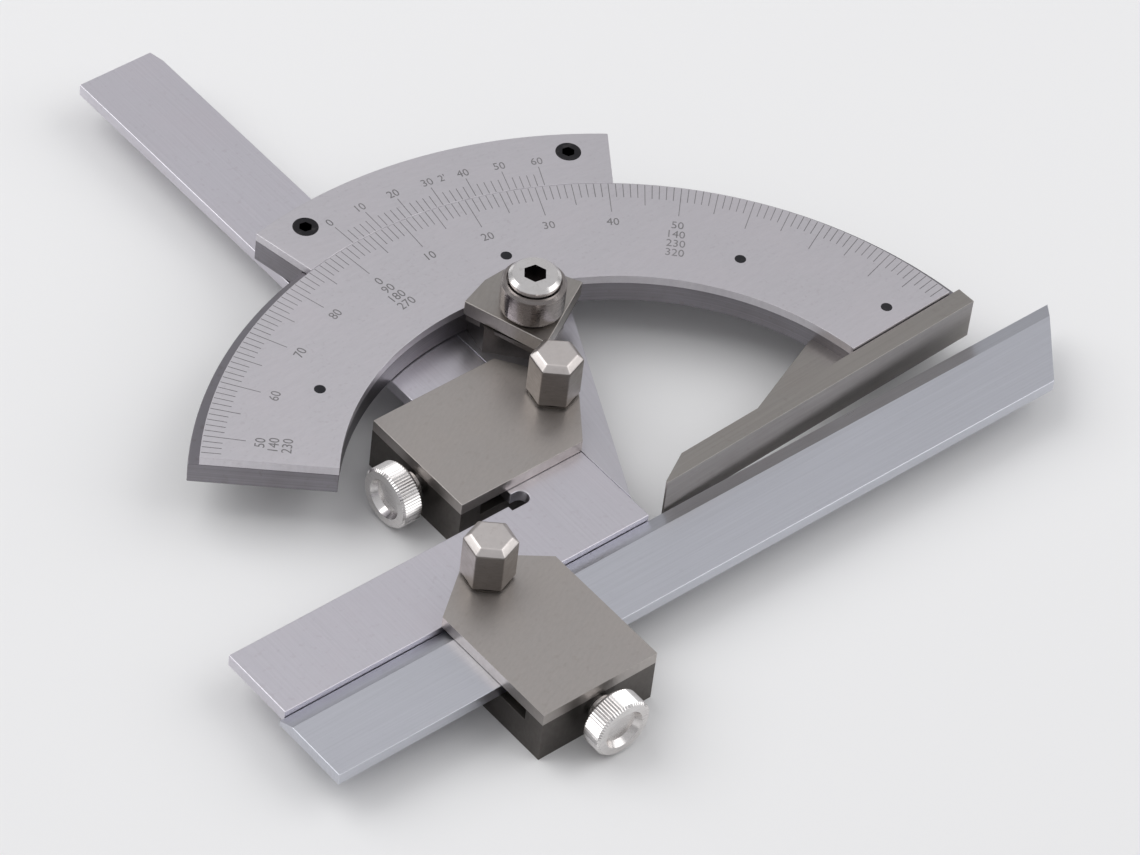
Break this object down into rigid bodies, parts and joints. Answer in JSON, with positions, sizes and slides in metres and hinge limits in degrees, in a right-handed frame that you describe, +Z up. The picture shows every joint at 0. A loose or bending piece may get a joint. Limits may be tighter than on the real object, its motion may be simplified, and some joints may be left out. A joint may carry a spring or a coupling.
{
  "type": "goniometer",
  "caption": "Universal bevel protractor: an arc scale with a base ruler turns past a vernier on a sector plate that clamps a try square and a bevelled blade.",
  "frame": {"origin": "the vertex of the measured angle, at the level of the surface that the instrument lies on", "axes": "+X along the blade's measuring edge, +Y along the square's long leg, +Z up, away from the surface"},
  "size_m": [0.1588, 0.1608, 0.0241],
  "materials": {
    "scale_steel": "satin, very fine horizontal grain, slightly pitted",
    "arc_steel": "turned, satin",
    "ruler_steel": "ground, warm grey satin",
    "strip_steel": "ground lengthwise, satin",
    "blade_steel": "ground lengthwise, satin",
    "clamp_steel": "milled, warm grey satin",
    "cover_steel": "ground, warm grey satin",
    "knob_steel": "turned and milled, warm satin",
    "chrome": "bright plated",
    "black_pin": "blackened, matte",
    "black_screw": "blackened, semi-gloss",
    "screw_steel": "plain steel",
    "stud_steel": "turned, satin",
    "washer_steel": "dark spring steel",
    "shoe_steel": "milled, dark oiled steel"
  },
  "bodies": {
    "sector": {"sector_plate": "strip_steel", "vernier_rail": "arc_steel", "rail_screws": "screw_steel", "vernier_plate": "scale_steel", "vernier_screws": "black_screw", "inner_guide": "clamp_steel", "guide_screws": "screw_steel", "brake_stud": "stud_steel", "brake_plate": "clamp_steel", "clamp_1_body": "clamp_steel", "clamp_1_cover": "cover_steel", "clamp_1_pins": "screw_steel", "clamp_1_stud": "stud_steel", "clamp_1_washer": "washer_steel", "clamp_1_shoe": "shoe_steel"},
    "scale": {"scale_plate": "scale_steel", "scale_pins": "black_pin", "arc_body": "arc_steel", "base_ruler": "ruler_steel", "ruler_screws": "screw_steel"},
    "brake_nut": {"brake_nut": "chrome"},
    "knob_1": {"clamp_1_knob": "knob_steel"},
    "side_screw_1": {"clamp_1_screw": "chrome"},
    "square": {"square": "strip_steel", "clamp_2_body": "clamp_steel", "clamp_2_cover": "cover_steel", "clamp_2_pins": "screw_steel", "clamp_2_stud": "stud_steel", "clamp_2_washer": "washer_steel", "clamp_2_shoe": "shoe_steel"},
    "knob_2": {"clamp_2_knob": "knob_steel"},
    "side_screw_2": {"clamp_2_screw": "chrome"},
    "blade": {"blade": "blade_steel"}
  },
  "joints": [
    {"name": "scale_turn", "type": "hinge", "parent": "sector", "child": "scale", "pos_m": [0, 0, 0.01], "axis": [0, 0, 1], "range_deg": [-2.2, 47.6]},
    {"name": "brake_nut_turn", "type": "hinge", "parent": "sector", "child": "brake_nut", "pos_m": [0.00864, 0.03998, 0.0155], "axis": [0, 0, 1], "range_deg": [0, 180]},
    {"name": "knob_1_turn", "type": "hinge", "parent": "sector", "child": "knob_1", "pos_m": [0.0039, 0.0279, 0.0106], "axis": [0, 0, 1], "range_deg": [0, 180]},
    {"name": "side_screw_1_turn", "type": "hinge", "parent": "sector", "child": "side_screw_1", "pos_m": [-0.0236, 0.0279, 0.0055], "axis": [-1, 0, 0], "range_deg": [0, 360]},
    {"name": "square_slide", "type": "slide", "parent": "sector", "child": "square", "axis": [0, -1, 0], "range_m": [0, 0.06]},
    {"name": "knob_2_turn", "type": "hinge", "parent": "square", "child": "knob_2", "pos_m": [-0.0296, 0.003, 0.0106], "axis": [0, 0, 1], "range_deg": [0, 180]},
    {"name": "side_screw_2_turn", "type": "hinge", "parent": "square", "child": "side_screw_2", "pos_m": [-0.0296, -0.0245, 0.0055], "axis": [0, -1, 0], "range_deg": [0, 360]},
    {"name": "blade_slide", "type": "slide", "parent": "square", "child": "blade", "axis": [1, 0, 0], "range_m": [-0.045, 0.025]}
  ]
}
